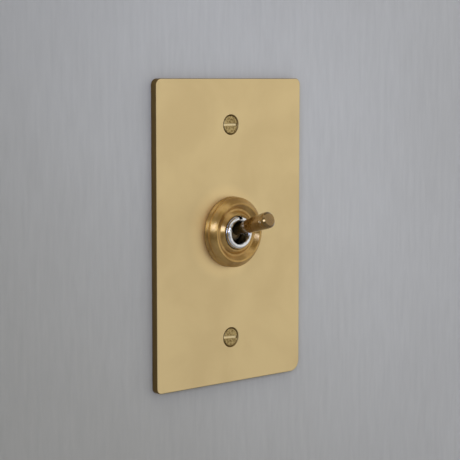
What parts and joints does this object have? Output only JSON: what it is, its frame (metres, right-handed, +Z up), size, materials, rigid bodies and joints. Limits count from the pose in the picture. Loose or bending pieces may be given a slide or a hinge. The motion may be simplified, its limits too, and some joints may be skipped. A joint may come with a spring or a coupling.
{
  "type": "toggle wall switch",
  "caption": "Toggle wall switch: tall brass face plate with countersunk screws, turned rosette nut, plated bush and a dolly lever working a rocker contact in a moulded body.",
  "frame": {"origin": "on the switch's axis, in the plane of the face plate's back rim, where the plate meets the wall", "axes": "+Z up along the plate's length, +Y into the wall, so the front faces -Y, +X to the viewer's right"},
  "size_m": [0.0746, 0.0551, 0.119],
  "materials": {
    "satin_brass": "satin, finely linished, lightly mottled",
    "turned_brass": "turned and polished, warm lacquer",
    "aged_brass": "turned, darkened antique tone",
    "screw_brass": "dull, slightly pitted",
    "chrome": "bright nickel or chrome plate",
    "zinc_steel": "zinc plated",
    "spring_steel": "bright spring steel",
    "copper": "formed copper strip",
    "silver": "silver contact face",
    "terminal_brass": "pressed brass strip",
    "body_phenolic": "moulded black phenolic",
    "base_phenolic": "moulded brown phenolic",
    "red_fibre": "vulcanised fibre sheet",
    "white_nylon": "moulded nylon",
    "green_steel": "green passivated steel"
  },
  "bodies": {
    "switch": {"face_plate": "satin_brass", "rosette_nut": "turned_brass", "fixing_screw_top": "screw_brass", "fixing_screw_bottom": "screw_brass", "terminal_screw_top": "screw_brass", "terminal_screw_common": "screw_brass", "terminal_screw_bottom": "screw_brass", "threaded_bush": "chrome", "back_nut": "zinc_steel", "steel_frame": "zinc_steel", "wire_saddle_top": "zinc_steel", "wire_saddle_common": "zinc_steel", "wire_saddle_bottom": "zinc_steel", "lock_washer": "spring_steel", "pivot_pin": "spring_steel", "fixed_contact_top": "silver", "fixed_contact_bottom": "silver", "common_terminal": "terminal_brass", "end_terminal_top": "terminal_brass", "end_terminal_bottom": "terminal_brass", "switch_body": "body_phenolic", "rear_base": "base_phenolic", "fibre_washer": "red_fibre", "captive_washer_top": "white_nylon", "captive_washer_bottom": "white_nylon", "earth_screw": "green_steel"},
    "lever": {"toggle_lever": "aged_brass"},
    "plunger_unit": {"plunger": "spring_steel", "plunger_spring": "spring_steel"},
    "rocker_unit": {"rocker": "copper", "moving_contact_top": "silver", "moving_contact_bottom": "silver"}
  },
  "joints": [
    {"name": "toggle", "type": "hinge", "parent": "switch", "child": "lever", "pos_m": [0, -0.003, 0], "axis": [1, 0, 0], "range_deg": [0, 32]},
    {"name": "plunger_slide", "type": "slide", "parent": "lever", "child": "plunger_unit", "axis": [0, -0.9613, 0.2756], "range_m": [0, 0.0012], "stiffness_N_per_m": 100, "springref_m": -0.004, "deforming": ["plunger_spring"]},
    {"name": "rocker_tilt", "type": "hinge", "parent": "switch", "child": "rocker_unit", "pos_m": [0, 0.0101, 0], "axis": [1, 0, 0], "range_deg": [-16, 0]}
  ],
  "couplings": [
    {"joint": "rocker_tilt", "follows": "toggle", "ratio": -0.5}
  ]
}
